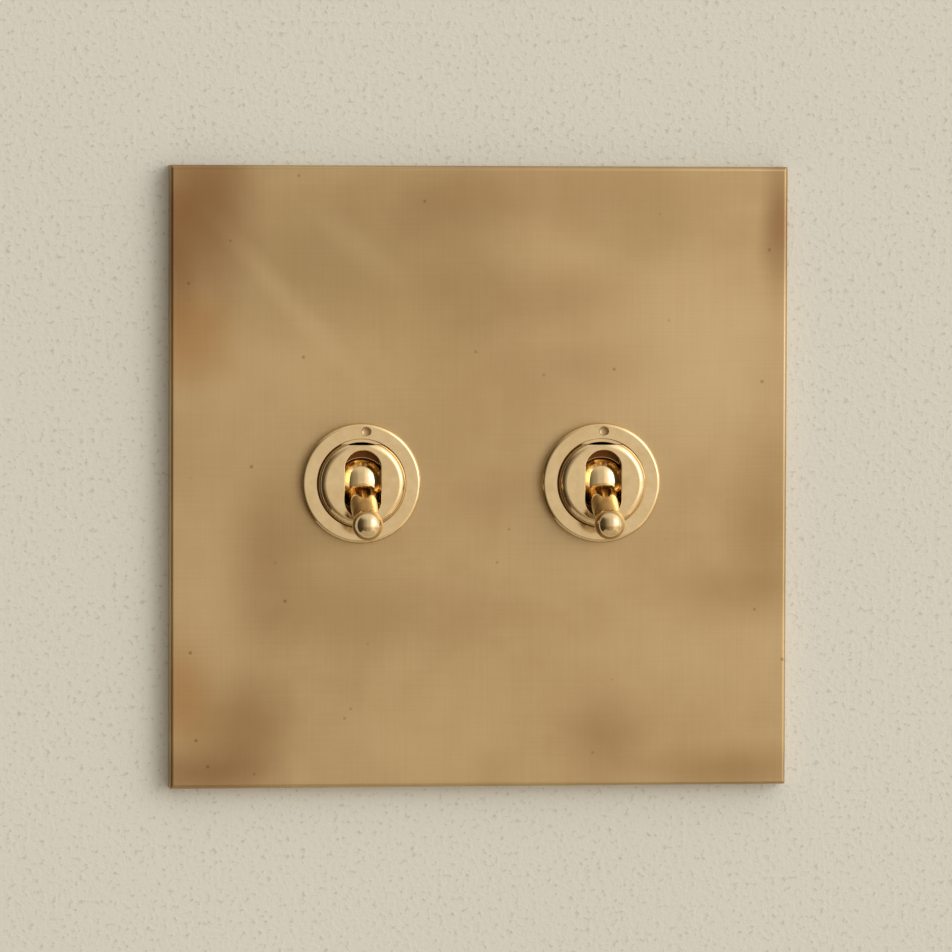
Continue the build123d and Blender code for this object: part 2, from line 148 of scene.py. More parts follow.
def turn(mesh, steps=turning_steps):
    """Spins the whole outline round the Y axis and closes it at the poles."""
    bmesh.ops.spin(mesh, geom=mesh.verts[:] + mesh.edges[:], cent=(0, 0, 0), axis=(0, 1, 0),
                   dvec=(0, 0, 0), angle=2 * pi, steps=steps, use_merge=True,
                   use_duplicate=False)
    bmesh.ops.remove_doubles(mesh, verts=mesh.verts, dist=0.0005)
    bmesh.ops.recalc_face_normals(mesh, faces=mesh.faces)


def round_edges(mesh, edges, width, segments=6):
    """Rounds edges over, as a file or a form tool does."""
    bmesh.ops.bevel(mesh, geom=edges, offset=width, offset_type="OFFSET", affect="EDGES",
                    segments=segments, profile=0.5, material=-1, clamp_overlap=True)


def to_piece(mesh, name, move=(0, 0, 0), sharp=32, weighted=True):
    """Makes an object of a mesh drawn in millimetres, moved to its place and shaded smooth."""
    bmesh.ops.translate(mesh, verts=mesh.verts, vec=move)
    bmesh.ops.scale(mesh, verts=mesh.verts, vec=(MM, MM, MM))
    data = bpy.data.meshes.new(name)
    mesh.to_mesh(data)
    mesh.free()
    piece = bpy.data.objects.new(name, data)
    bpy.context.scene.collection.objects.link(piece)
    shade(piece, sharp, weighted)
    return piece


def shade(piece, sharp, weighted=True):
    """Shades smooth but for sharp edges, with the large faces deciding the normals."""
    piece.data.shade_smooth()
    piece.data.set_sharp_from_angle(angle=radians(sharp))
    if weighted:
        normals = piece.modifiers.new("weighted normals", "WEIGHTED_NORMAL")
        normals.keep_sharp = True
        normals.weight = 100


def carve(piece, cutter, sharp=32):
    """Cuts the cutter's shape out of a piece and throws the cutter away."""
    for modifier in list(piece.modifiers):
        piece.modifiers.remove(modifier)
    cut = piece.modifiers.new("cut", "BOOLEAN")
    cut.object = cutter
    cut.solver = "EXACT"
    bpy.context.view_layer.update()
    ready = piece.evaluated_get(bpy.context.evaluated_depsgraph_get())
    mesh = bmesh.new()
    mesh.from_mesh(ready.to_mesh())
    piece.modifiers.remove(cut)
    bmesh.ops.remove_doubles(mesh, verts=mesh.verts, dist=0.5e-6)
    mesh.to_mesh(piece.data)
    mesh.free()
    bpy.data.objects.remove(cutter)
    shade(piece, sharp)
    return piece


def finish_piece(piece, body, node, material):
    """Puts a new piece on its body, in place of its node, with its material."""
    piece.data.materials.clear()
    piece.data.materials.append(material)
    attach(piece, body)
    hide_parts(node)
    print("made", piece.name, "faces", len(piece.data.polygons))


# %% [markdown]
# ## Helpers for materials
# Each finish is built from a few shader node groups: clouds of tarnish, fine brushing and single
# patches of patina. A group puts out only a mask, and the material decides what colour or
# roughness the mask stands for. All of them read Object coordinates, in metres, so a pattern
# keeps its real size on every piece.

# %% Node helpers


def add(tree, kind, settings=(), **inputs):
    """Adds a node. An input is named in words, and takes a value or another node's output."""
    node = tree.nodes.new(kind)
    for name, value in dict(settings).items():
        setattr(node, name, value)
    for name, value in inputs.items():
        socket = node.inputs[int(name[1:])] if name[0] == "n" and name[1:].isdigit() \
            else node.inputs[name.replace("_", " ")]
        if isinstance(value, bpy.types.NodeSocket):
            tree.links.new(value, socket)
        else:
            socket.default_value = value
    return node


def maths(tree, operation, a, b=0.0, c=None):
    """One step of arithmetic, as an output."""
    extra = {} if c is None else {"n2": c}
    return add(tree, "ShaderNodeMath", {"operation": operation}, n0=a, n1=b, **extra).outputs[0]


def mix(tree, factor, a, b, blend="MIX"):
    """Mixes two colours by a mask, as an output."""
    node = add(tree, "ShaderNodeMix", {"data_type": "RGBA", "blend_type": blend})
    for socket, value in ((node.inputs[0], factor), (node.inputs[6], a), (node.inputs[7], b)):
        if isinstance(value, bpy.types.NodeSocket):
            tree.links.new(value, socket)
        else:
            socket.default_value = value
    return node.outputs[2]


def ramp(tree, value, low, high, start=0.0, end=1.0):
    """Maps a value from low..high to start..end with a soft step, as an output."""
    node = add(tree, "ShaderNodeMapRange", {"interpolation_type": "SMOOTHSTEP"}, Value=value)
    node.inputs["From Min"].default_value = low
    node.inputs["From Max"].default_value = high
    node.inputs["To Min"].default_value = start
    node.inputs["To Max"].default_value = end
    return node.outputs[0]


def rgb(red, green, blue):
    """A colour as it looks on a screen, 0 to 255, made linear for the shader."""
    def linear(level):
        level /= 255
        return level / 12.92 if level <= 0.04045 else ((level + 0.055) / 1.055) ** 2.4
    return (linear(red), linear(green), linear(blue), 1.0)


def new_group(name, inputs, outputs):
    """An empty shader node group with named inputs (name: default) and value outputs."""
    group = bpy.data.node_groups.new(name, "ShaderNodeTree")
    for label, default in inputs.items():
        kind = "NodeSocketVector" if isinstance(default, tuple) else "NodeSocketFloat"
        socket = group.interface.new_socket(label, in_out="INPUT", socket_type=kind)
        socket.default_value = default
    for label in outputs:
        group.interface.new_socket(label, in_out="OUTPUT", socket_type="NodeSocketFloat")
    return group, group.nodes.new("NodeGroupInput"), group.nodes.new("NodeGroupOutput")


def use(tree, group, **inputs):
    """Places a node group with its own values."""
    node = tree.nodes.new("ShaderNodeGroup")
    node.node_tree = group
    for name, value in inputs.items():
        socket = node.inputs[name.replace("_", " ")]
        if isinstance(value, bpy.types.NodeSocket):
            tree.links.new(value, socket)
        else:
            socket.default_value = value
    return node


# %% Cloud group: uneven tarnish in two sizes
cloud_group, source, sink = new_group(
    "tarnish clouds", {"Place": (0.0, 0.0, 0.0), "Size": 12.0, "Shift": 0.0}, ["Mask"])
scale = maths(cloud_group, "DIVIDE", 1000.0, source.outputs["Size"])
broad = add(cloud_group, "ShaderNodeTexNoise", {"noise_dimensions": "4D"},
            Vector=source.outputs["Place"], W=source.outputs["Shift"], Scale=scale, Detail=3.0,
            Roughness=0.55, Distortion=0.6)
fine = add(cloud_group, "ShaderNodeTexNoise", {"noise_dimensions": "4D"},
           Vector=source.outputs["Place"], W=source.outputs["Shift"],
           Scale=maths(cloud_group, "MULTIPLY", scale, 4.3), Detail=4.0, Roughness=0.6)
both = maths(cloud_group, "MULTIPLY", fine.outputs[0], 0.35)
both = maths(cloud_group, "MULTIPLY_ADD", broad.outputs[0], 0.65, both)
cloud_group.links.new(ramp(cloud_group, both, 0.35, 0.65), sink.inputs["Mask"])

# %% Brushing group: fine scratches along one direction
brush_group, source, sink = new_group(
    "fine brushing", {"Place": (0.0, 0.0, 0.0), "Stretch": (1.0, 1.0, 1.0), "Shift": 0.0},
    ["Lines", "Broken"])
stretched = add(brush_group, "ShaderNodeVectorMath", {"operation": "MULTIPLY"},
                n0=source.outputs["Place"], n1=source.outputs["Stretch"]).outputs[0]
lines = add(brush_group, "ShaderNodeTexNoise", {"noise_dimensions": "4D"}, Vector=stretched,
            W=source.outputs["Shift"], Scale=1.0, Detail=5.0, Roughness=0.7)
breaks = add(brush_group, "ShaderNodeTexNoise", {"noise_dimensions": "4D"},
             Vector=source.outputs["Place"], W=source.outputs["Shift"], Scale=160.0, Detail=2.0)
brush_group.links.new(ramp(brush_group, lines.outputs[0], 0.3, 0.7), sink.inputs["Lines"])
broken = maths(brush_group, "MULTIPLY", ramp(brush_group, lines.outputs[0], 0.52, 0.7),
               ramp(brush_group, breaks.outputs[0], 0.45, 0.6))
brush_group.links.new(broken, sink.inputs["Broken"])

# %% Patch group: one soft oval of patina with a ragged edge
patch_group, source, sink = new_group(
    "patina patch", {"Place": (0.0, 0.0, 0.0), "Centre": (0.0, 0.0, 0.0), "Turn": 0.0,
                     "Half Size": (1.0, 1.0, 1.0), "Ragged": 0.0}, ["Mask"])
offset = add(patch_group, "ShaderNodeVectorMath", {"operation": "SUBTRACT"},
             n0=source.outputs["Place"], n1=source.outputs["Centre"]).outputs[0]
turned = add(patch_group, "ShaderNodeVectorRotate", {"rotation_type": "Y_AXIS"}, Vector=offset,
             Angle=source.outputs["Turn"]).outputs[0]
oval = add(patch_group, "ShaderNodeVectorMath", {"operation": "DIVIDE"}, n0=turned,
           n1=source.outputs["Half Size"]).outputs[0]
flat_oval = add(patch_group, "ShaderNodeVectorMath", {"operation": "MULTIPLY"}, n0=oval,
                n1=(1.0, 0.0, 1.0)).outputs[0]
reach = add(patch_group, "ShaderNodeVectorMath", {"operation": "LENGTH"},
            n0=flat_oval).outputs["Value"]
reach = maths(patch_group, "ADD", reach, source.outputs["Ragged"])
patch_group.links.new(ramp(patch_group, reach, 1.6, 0.0), sink.inputs["Mask"])
print("node groups:", [group.name for group in bpy.data.node_groups])

# %% [markdown]
# ## Aged brass of the face plate
# The plate was aged by hand and rubbed back, so its colour wanders from pale straw through olive
# to red-brown, mostly at the corners. The wandering that has no plan is noise. The patches that
# the eye remembers are placed one by one, from the plate's middle, in millimetres.

# %% Patches of patina on the plate: tone, X, Z, half width, half height, turn, strength
PLATE_PATCHES = (
    ("red", -38.3, 36.1, 7.0, 12.0, 0, 0.75),
    ("red", -42.0, 31.0, 2.6, 10.0, 0, 0.60),
    ("olive", -22.2, 31.3, 21.0, 11.0, 8, 0.55),
    ("olive", -2.7, 31.3, 9.0, 12.0, 0, 0.45),
    ("brown", 0.5, 39.0, 20.0, 6.0, 0, 0.40),
    ("olive", 22.5, 36.0, 10.0, 7.0, 0, 0.35),
    ("orange", -39.7, 18.8, 5.5, 6.5, 0, 0.55),
    ("brown", 7.1, 25.0, 14.0, 4.5, 0, 0.30),
    ("brown", 5.0, 12.0, 9.0, 7.0, 0, 0.10),
    ("brown", 2.2, -2.6, 7.5, 3.8, 8, 0.22),
    ("brown", 14.0, 15.5, 11.0, 4.5, 0, 0.25),
    ("brown", -29.9, -9.5, 5.0, 9.0, 0, 0.40),
    ("brown", -29.2, -19.2, 7.0, 6.0, 0, 0.35),
    ("brown", -12.5, -19.2, 14.0, 5.5, 0, 0.30),
    ("brown", -32.7, -34.4, 6.0, 7.0, 0, 0.60),
    ("orange", -41.1, -29.6, 4.0, 8.0, 0, 0.50),
    ("red", -39.5, -40.8, 9.0, 3.5, 0, 0.55),
    ("brown", 17.0, -35.8, 6.0, 6.5, 0, 0.45),
    ("brown", 36.4, -41.0, 13.0, 3.2, 0, 0.50),
    ("red", 41.8, 36.0, 2.4, 10.0, 0, 0.60),
    ("brown", 40.6, -4.7, 5.0, 10.0, 0, 0.45),
    ("brown", 36.4, -16.5, 10.0, 4.5, 0, 0.35),
    ("pale", -25.7, 23.3, 13.5, 1.7, -48, 0.25),
    ("pale", -17.0, 32.0, 9.0, 1.9, -38, 0.15),
    ("pale", 32.9, 16.0, 13.0, 12.0, 0, 0.35),
    ("pale", -36.9, 3.6, 6.0, 10.0, 0, 0.20),
    ("pale", -37.6, -17.0, 5.0, 12.0, 0, 0.25),
    ("pale", 30.8, -24.0, 12.0, 6.0, 0, 0.20),
    ("pale", -8.3, -36.5, 12.0, 5.0, 0, 0.20),
)
PATINA_TONES = {
    "red": rgb(128, 82, 44),
    "orange": rgb(170, 120, 64),
    "olive": rgb(166, 140, 100),
    "brown": rgb(152, 116, 74),
    "pale": rgb(220, 196, 154),
}
PLATE_STRAW = rgb(202, 176, 134)
PLATE_DULL = rgb(192, 165, 122)


def new_material(name):
    """A material with its Principled shader, its Object coordinates and its node tree."""
    material = bpy.data.materials.new(name)
    material.use_nodes = True
    tree = material.node_tree
    shader = tree.nodes["Principled BSDF"]
    place = tree.nodes.new("ShaderNodeTexCoord").outputs["Object"]
    return material, tree, shader, place


def aged_brass():
    """The plate's finish: clouds, placed patches, cross brushing and specks."""
    material, tree, shader, place = new_material("aged brass plate")
    clouds = use(tree, cloud_group, Place=place, Size=26.0, Shift=2.0).outputs[0]
    colour = mix(tree, clouds, PLATE_DULL, PLATE_STRAW)
    noise = add(tree, "ShaderNodeTexNoise", {"noise_dimensions": "3D"}, Vector=place,
                Scale=70.0, Detail=4.0, Roughness=0.5).outputs[0]
    ragged = maths(tree, "MULTIPLY_ADD", noise, 1.1, -0.55)
    for tone, x, z, half_x, half_z, angle, strength in PLATE_PATCHES:
        patch = use(tree, patch_group, Place=place, Centre=(x * MM, 0, z * MM), Ragged=ragged,
                    Turn=radians(angle), Half_Size=(half_x * MM, 1.0, half_z * MM))
        mask = maths(tree, "MULTIPLY", patch.outputs[0], strength)
        colour = mix(tree, mask, colour, PATINA_TONES[tone])
    across = use(tree, brush_group, Place=place, Stretch=(60.0, 60.0, 5200.0), Shift=1.0)
    upright = use(tree, brush_group, Place=place, Stretch=(4600.0, 60.0, 60.0), Shift=5.0)
    colour = mix(tree, maths(tree, "MULTIPLY", across.outputs["Lines"], 0.05), colour,
                 rgb(120, 92, 56))
    colour = mix(tree, maths(tree, "MULTIPLY", upright.outputs["Lines"], 0.07), colour,
                 rgb(120, 92, 56))
    specks = add(tree, "ShaderNodeTexVoronoi", Vector=place, Scale=210.0, Randomness=1.0)
    speck_mask = ramp(tree, specks.outputs["Distance"], 0.075, 0.02)
    colour = mix(tree, maths(tree, "MULTIPLY", speck_mask, 0.5), colour, rgb(96, 70, 44))
    tree.links.new(colour, shader.inputs["Base Color"])
    shader.inputs["Metallic"].default_value = 1.0
    rough = maths(tree, "MULTIPLY_ADD", clouds, 0.06, 0.36)
    rough = maths(tree, "MULTIPLY_ADD", across.outputs["Lines"], 0.05, rough)
    tree.links.new(rough, shader.inputs["Roughness"])
    height = maths(tree, "ADD", across.outputs["Lines"], upright.outputs["Lines"])
    bump = add(tree, "ShaderNodeBump", Strength=0.06, Distance=0.00002, Height=height)
    tree.links.new(bump.outputs[0], shader.inputs["Normal"])
    return material


def tarnish_and_painted_shade(tree, place):
    """Brown in the hollows, part tarnish and part painted shade: the ring's mouth and thread, its dimple, and the
    slot's far ends.
    """
    parts = add(tree, "ShaderNodeSeparateXYZ", n0=place).outputs
    across = maths(tree, "SUBTRACT", maths(tree, "ABSOLUTE", parts[0]), pivot["right"].x * MM)
    up = maths(tree, "SUBTRACT", parts[2], pivot["right"].z * MM)
    radius = maths(tree, "SQRT", maths(tree, "MULTIPLY_ADD", across, across,
                                       maths(tree, "MULTIPLY", up, up)))
    deep = ramp(tree, parts[1], (ring_front + 0.03) * MM, (ring_front + 0.07) * MM)
    deeper = ramp(tree, parts[1], (ring_front + 0.14) * MM, (ring_front + 0.16) * MM)
    under_flat = ramp(tree, up, (bush_flat + 0.1) * MM, bush_flat * MM)
    deep = maths(tree, "MULTIPLY", deep, maths(tree, "MAXIMUM", deeper, under_flat))
    inner = ramp(tree, radius, (slot_polish - 0.05) * MM, (slot_polish + 0.05) * MM)
    rim = ring_radius - ring_edge
    outer = maths(tree, "MULTIPLY", ramp(tree, radius, (rim + 0.16) * MM, (rim + 0.08) * MM),
                  ramp(tree, radius, (ring_mouth + 0.3) * MM, (ring_mouth + 0.1) * MM, 0.4, 1.0))
    return maths(tree, "MULTIPLY", deep, maths(tree, "MULTIPLY", inner, outer))


def polished_brass():
    """Hand-polished brass: nearly a mirror, with faint smears, hair scratches and hollows painted brown, part
    tarnish and part shade.
    """
    material, tree, shader, place = new_material("polished brass")
    clouds = use(tree, cloud_group, Place=place, Size=3.0, Shift=7.0).outputs[0]
    colour = mix(tree, clouds, rgb(222, 195, 147), rgb(232, 208, 164))
    # Painted shade: the hollows are turned dark brown and rougher, as tarnish together with shade painted into the
    # colour
    brown = tarnish_and_painted_shade(tree, place)
    colour = mix(tree, brown, colour, rgb(112, 70, 36))
    hair = use(tree, brush_group, Place=place, Stretch=(900.0, 900.0, 9000.0), Shift=3.0)
    tree.links.new(colour, shader.inputs["Base Color"])
    shader.inputs["Metallic"].default_value = 1.0
    rough = maths(tree, "MULTIPLY_ADD", clouds, 0.05, 0.10)
    rough = maths(tree, "MULTIPLY_ADD", hair.outputs["Broken"], 0.05, rough)
    rough = maths(tree, "MULTIPLY_ADD", brown, 0.35, rough)
    tree.links.new(rough, shader.inputs["Roughness"])
    bump = add(tree, "ShaderNodeBump", Strength=0.05, Distance=0.00001,
               Height=hair.outputs["Lines"])
    tree.links.new(bump.outputs[0], shader.inputs["Normal"])
    return material


def plain_metal(name, dark, light, rough, stretch, cloud_size=6.0):
    """A machined, rolled or plated metal with faint clouds and lines along its grain."""
    material, tree, shader, place = new_material(name)
    clouds = use(tree, cloud_group, Place=place, Size=cloud_size, Shift=len(name)).outputs[0]
    grain = use(tree, brush_group, Place=place, Stretch=stretch, Shift=2.0)
    tree.links.new(mix(tree, clouds, dark, light), shader.inputs["Base Color"])
    shader.inputs["Metallic"].default_value = 1.0
    value = maths(tree, "MULTIPLY_ADD", clouds, 0.08, rough)
    value = maths(tree, "MULTIPLY_ADD", grain.outputs["Lines"], 0.08, value)
    tree.links.new(value, shader.inputs["Roughness"])
    bump = add(tree, "ShaderNodeBump", Strength=0.12, Distance=0.00002,
               Height=grain.outputs["Lines"])
    tree.links.new(bump.outputs[0], shader.inputs["Normal"])
    return material


def moulded(name, dark, light, rough, grain_size, strength):
    """A moulded plastic with the fine grain of its tool."""
    material, tree, shader, place = new_material(name)
    clouds = use(tree, cloud_group, Place=place, Size=8.0, Shift=4.0).outputs[0]
    tree.links.new(mix(tree, clouds, dark, light), shader.inputs["Base Color"])
    tree.links.new(maths(tree, "MULTIPLY_ADD", clouds, 0.12, rough), shader.inputs["Roughness"])
    grain = add(tree, "ShaderNodeTexNoise", Vector=place, Scale=1000.0 / grain_size, Detail=3.0)
    bump = add(tree, "ShaderNodeBump", Strength=strength, Distance=0.00005,
               Height=grain.outputs[0])
    tree.links.new(bump.outputs[0], shader.inputs["Normal"])
    return material


MATERIALS = {
    "aged_brass_plate": aged_brass(),
    "polished_brass": polished_brass(),
    "plain_brass": plain_metal("machined brass", rgb(190, 152, 84), rgb(214, 178, 108), 0.26,
                               (300.0, 300.0, 4000.0)),
    "contact_brass": plain_metal("rolled brass", rgb(186, 148, 86), rgb(208, 172, 106), 0.3,
                                 (200.0, 200.0, 5000.0)),
    "zinc_steel": plain_metal("zinc plated steel", rgb(150, 152, 152), rgb(186, 188, 186), 0.34,
                              (3000.0, 200.0, 200.0), 2.5),
    "screw_steel": plain_metal("bright screw steel", rgb(168, 168, 166), rgb(196, 196, 192), 0.22,
                               (200.0, 3000.0, 200.0)),
    "spring_steel": plain_metal("spring wire", rgb(120, 122, 126), rgb(150, 152, 156), 0.3,
                                (300.0, 300.0, 300.0)),
    "silver_contact": plain_metal("silver contact", rgb(214, 213, 208), rgb(232, 231, 226), 0.2,
                                  (400.0, 400.0, 400.0)),
    "dark_moulding": moulded("dark moulding", rgb(30, 26, 24), rgb(42, 37, 33), 0.42, 0.25, 0.25),
    "nylon": moulded("nylon", rgb(222, 217, 200), rgb(234, 230, 216), 0.45, 0.4, 0.1),
}
print("materials:", sorted(MATERIALS))

# %% [markdown]
# ## Face plate
# On the real switch this is a sheared square of 3 mm brass whose front edges are rounded over by
# hand. It could be a CAD mesh with a Bevel modifier, but a cube scaled to the plate's own box and
# bevelled edge by edge gives clean strips along the edges, which is where the light runs.

# %% Face plate


def box_mesh(low, high):
    """A box between two corners, in millimetres."""
    mesh = bmesh.new()
    bmesh.ops.create_cube(mesh, size=1.0)
    bmesh.ops.scale(mesh, verts=mesh.verts, vec=Vector(high) - Vector(low))
    bmesh.ops.translate(mesh, verts=mesh.verts, vec=(Vector(low) + Vector(high)) / 2)
    return mesh


def bar_mesh(radius, start, end, steps=96, turn_to=None):
    """A round bar along Y, or turned by a matrix, in millimetres."""
    mesh = bmesh.new()
    along = Matrix.Translation((0, (start + end) / 2, 0)) @ Matrix.Rotation(radians(90), 4, "X")
    bmesh.ops.create_cone(mesh, cap_ends=True, segments=steps, radius1=radius, radius2=radius,
                          depth=end - start, matrix=(turn_to or Matrix()) @ along)
    return mesh


plate_mesh = box_mesh(plate_low, plate_high)
front_edges = [edge for edge in plate_mesh.edges
               if all(abs(vert.co.y - plate_low.y) < 0.01 for vert in edge.verts)]
round_edges(plate_mesh, front_edges, plate_edge, 7)
side_edges = [edge for edge in plate_mesh.edges if edge.calc_face_angle(0) > radians(40)]
round_edges(plate_mesh, side_edges, plate_side_edge, 3)
plate = to_piece(plate_mesh, "brass_plate")
for side in SIDES:
    hole = bar_mesh(plate_hole, plate_low.y - 1, plate_high.y + 1)
    carve(plate, to_piece(hole, "hole", (pivot[side].x, 0, pivot[side].z), weighted=False))
finish_piece(plate, "base", "faceplate", MATERIALS["aged_brass_plate"])

# %% [markdown]
# ## Ring nuts
# Each is turned from bar: a flat face, a rounded rim and a shallow ledge in front of the thread.
# The bore is drawn at the bottom of the thread, which is what shows past the bush's flat.
# One drilled dimple near the top takes the pin spanner. The rim's curve is part of the outline
# that is spun, so the highlight on it is one unbroken line.

# %% Ring nuts


def ring_mesh():
    """The ring nut about its own axis."""
    mesh = bmesh.new()
    outer = ring_radius
    draw(mesh, (ring_thread, ring_back), (ring_thread, ring_front + ring_mouth_depth),
         (ring_thread + ring_ledge, ring_front + ring_ledge),
         (bush_radius + 0.1, ring_front + ring_ledge), (ring_mouth, ring_front),
         (outer - ring_edge, ring_front), (outer - ring_edge, ring_front + ring_edge, 90, 9),
         (outer, ring_back - ring_back_edge),
         (outer - ring_back_edge, ring_back - ring_back_edge, 90, 3), (ring_thread, ring_back))
    turn(mesh)
    return mesh


def dimple_mesh(angle):
    """The drill that makes the dimple, with its point and a slightly opened mouth."""
    mesh = bmesh.new()
    bottom = ring_front + dimple_depth
    draw(mesh, (0, bottom + 0.25), (dimple_radius, bottom), (dimple_radius, ring_front + 0.06),
         (dimple_radius + 0.06, ring_front), (dimple_radius + 0.06, ring_front - 1),
         (0, ring_front - 1))
    turn(mesh, 48)
    bmesh.ops.translate(mesh, verts=mesh.verts, vec=(0, 0, dimple_circle))
    bmesh.ops.rotate(mesh, verts=mesh.verts, cent=(0, 0, 0),
                     matrix=Matrix.Rotation(radians(angle), 3, "Y"))
    return mesh


for side in SIDES:
    place = (pivot[side].x, 0, pivot[side].z)
    ring = to_piece(ring_mesh(), f"polished_ring_{side}", place)
    carve(ring, to_piece(dimple_mesh(dimple_turn[side]), "drill", place, weighted=False))
    finish_piece(ring, "base", f"ring_nut_{side}", MATERIALS["polished_brass"])

# %% [markdown]
# ## Bushes
# The bush that the lever comes out of is turned, then a flat is milled on its top, a pin hole is
# drilled across it, and a round seat for the lever's ball is bored from behind. An upright slot is
# milled from the front, down to a ledge over the seat. The same order works here: one spun
# outline, and a cutter for each later step. Its big front edge is a polished quarter round. The
# front face is made one face before the cuts, so that it mirrors the room as a flat one does.

# %% Bushes


def bush_mesh():
    """The turned blank of the bush about its own axis."""
    mesh = bmesh.new()
    draw(mesh, (0, bush_front), (bush_radius - bush_edge, bush_front),
         (bush_radius - bush_edge, bush_front + bush_edge, 90, 14),
         (bush_radius, bush_flange_start), (bush_flange_radius, bush_flange_start),
         (bush_flange_radius, bush_back), (0, bush_back))
    turn(mesh)
    bmesh.ops.dissolve_faces(mesh, faces=[face for face in mesh.faces if face.normal.y < -0.999])
    return mesh


def slot_mesh():
    """The cutter of the slot: a round-ended bar, opened a little at the mouth."""
    mesh = bmesh.new()
    half, straight = slot_width / 2, (slot_height - slot_width) / 2
    bmesh.ops.create_circle(mesh, cap_ends=True, segments=64, radius=half,
                            matrix=Matrix.Rotation(radians(90), 4, "X"))
    for vert in mesh.verts:
        vert.co.z += straight if vert.co.z > 0.001 else -straight
        vert.co.y = bush_front - 1
    for depth, width in ((0.0, slot_edge), (0.35 * slot_edge, 0.4 * slot_edge),
                         (slot_edge, 0.0), (slot_depth, 0.0)):
        extrude_on(mesh, bush_front + depth)
        widen(mesh, bush_front + depth, half, straight, width)
    bmesh.ops.recalc_face_normals(mesh, faces=mesh.faces)
    return mesh


def extrude_on(mesh, length):
    """Carries the last face of a bar on to this length along Y."""
    last = max(mesh.faces, key=lambda face: face.calc_center_median().y)
    grown = bmesh.ops.extrude_discrete_faces(mesh, faces=[last])["faces"][0]
    for vert in grown.verts:
        vert.co.y = length


def widen(mesh, length, half, straight, width):
    """Gives the bar's outline at this length a little more than its own width all round."""
    for vert in mesh.verts:
        if abs(vert.co.y - length) < 0.001:
            middle = Vector((0, vert.co.y, straight if vert.co.z > 0 else -straight))
            vert.co = middle + (vert.co - middle).normalized() * (half + width)


def tail_room_mesh():
    """The wedge that is cut from behind, where the lever's tail swings."""
    mesh = bmesh.new()
    half_tail = (tail_radius + 0.25) / cos(radians(lever_tilt))
    reach = bush_back - pivot["left"].y
    half_height = reach * tan(radians(lever_tilt)) + half_tail
    bmesh.ops.create_cube(mesh, size=1.0)
    for vert in mesh.verts:
        rear = vert.co.y > 0
        vert.co.z *= 2 * (half_height if rear else half_tail)
        vert.co.y = bush_back if rear else pivot["left"].y
        vert.co.x *= 2 * (tail_radius + 0.25)
    return mesh


def seat_mesh():
    """The ball's round seat, bored out to the back."""
    mesh = bmesh.new()
    middle = pivot["left"].y
    draw(mesh, (0, middle - ball_seat), (0, middle, 90, 24), (ball_seat, bush_back + 1),
         (0, bush_back + 1))
    turn(mesh)
    return mesh


for side in SIDES:
    place = (pivot[side].x, 0, pivot[side].z)
    blank = to_piece(bush_mesh(), f"polished_bush_{side}", place)
    above_flat = box_mesh((-9, bush_front - 1, bush_flat), (9, bush_flange_start, 9))
    pin_bore = bar_mesh(0.8, -7, 7, 48, Matrix.Translation((0, pivot[side].y, 0))
                        @ Matrix.Rotation(radians(90), 4, "Z"))
    for cutter in (above_flat, seat_mesh(), slot_mesh(), tail_room_mesh(), pin_bore):
        carve(blank, to_piece(cutter, "cutter", place, weighted=False))
    finish_piece(blank, "base", f"bush_{side}", MATERIALS["polished_brass"])

# %% [markdown]
# ## Levers
# The dolly is turned in one piece: a ball on the end to push, a cone that swells a little in the
# middle, and a large ball that fills the bush behind the slot wherever the lever stands. The
# outline is drawn straight along Y and spun, then tilted about its pivot to the lowered position
# that the photograph shows.

# %% Levers


def arc_centre(start, end, bulge):
    """The centre of the arc that swells this far out from the line between two points."""
    start, end = Vector(start), Vector(end)
    chord = end - start
    radius = chord.length ** 2 / (8 * bulge) + bulge / 2
    inward = Vector((chord.y, -chord.x)).normalized()
    if inward.x > 0:
        inward = -inward
    return (start + end) / 2 + inward * (radius - bulge)


def lever_mesh():
    """The lever with its pivot at the origin and its tip towards the room."""
    mesh = bmesh.new()
    tail_joint = sqrt(pivot_ball_radius ** 2 - tail_radius ** 2)
    root = (root_radius, -sqrt(pivot_ball_radius ** 2 - root_radius ** 2))
    neck = (neck_radius, sqrt(tip_radius ** 2 - neck_radius ** 2) - lever_length)
    cone = arc_centre(root, neck, cone_bulge)
    ball_start = degrees(atan2(tail_joint, tail_radius))
    ball_end = degrees(atan2(root[1], root[0]))
    cone_turn = degrees(atan2(neck[1] - cone.y, neck[0] - cone.x)
                        - atan2(root[1] - cone.y, root[0] - cone.x))
    tip_start = degrees(atan2(neck[1] + lever_length, neck[0]))
    draw(mesh, (0, tail_length), (tail_radius - 0.2, tail_length),
         (tail_radius, tail_length - 0.2), (tail_radius, tail_joint),
         (0, 0, ball_end - ball_start, 48), (cone.x, cone.y, cone_turn, 16),
         (0, -lever_length, -90 - tip_start, 40))
    turn(mesh, 96)
    return mesh


for side in SIDES:
    lever_object = to_piece(lever_mesh(), f"dolly_{side}")
    hole = bar_mesh(pin_hole, -5, 5, 48, Matrix.Rotation(radians(90), 4, "Z"))
    carve(lever_object, to_piece(hole, "pin hole", weighted=False))
    seat = Matrix.Translation(pivot[side] * MM) @ Matrix.Rotation(radians(lever_tilt), 4, "X")
    lever_object.data.transform(seat)
    finish_piece(lever_object, f"lever_{side}", f"lever_{side}",
                 MATERIALS["polished_brass"])

# %% [markdown]
# ## Folded, moulded and screwed pieces behind the plate
# Their shapes are right as they are. A stamped or moulded edge is never quite sharp, though, and
# it shows as a thin line of light. A copy of each node's mesh is merged, its flat areas are made
# whole again and its sharp edges get a narrow bevel.

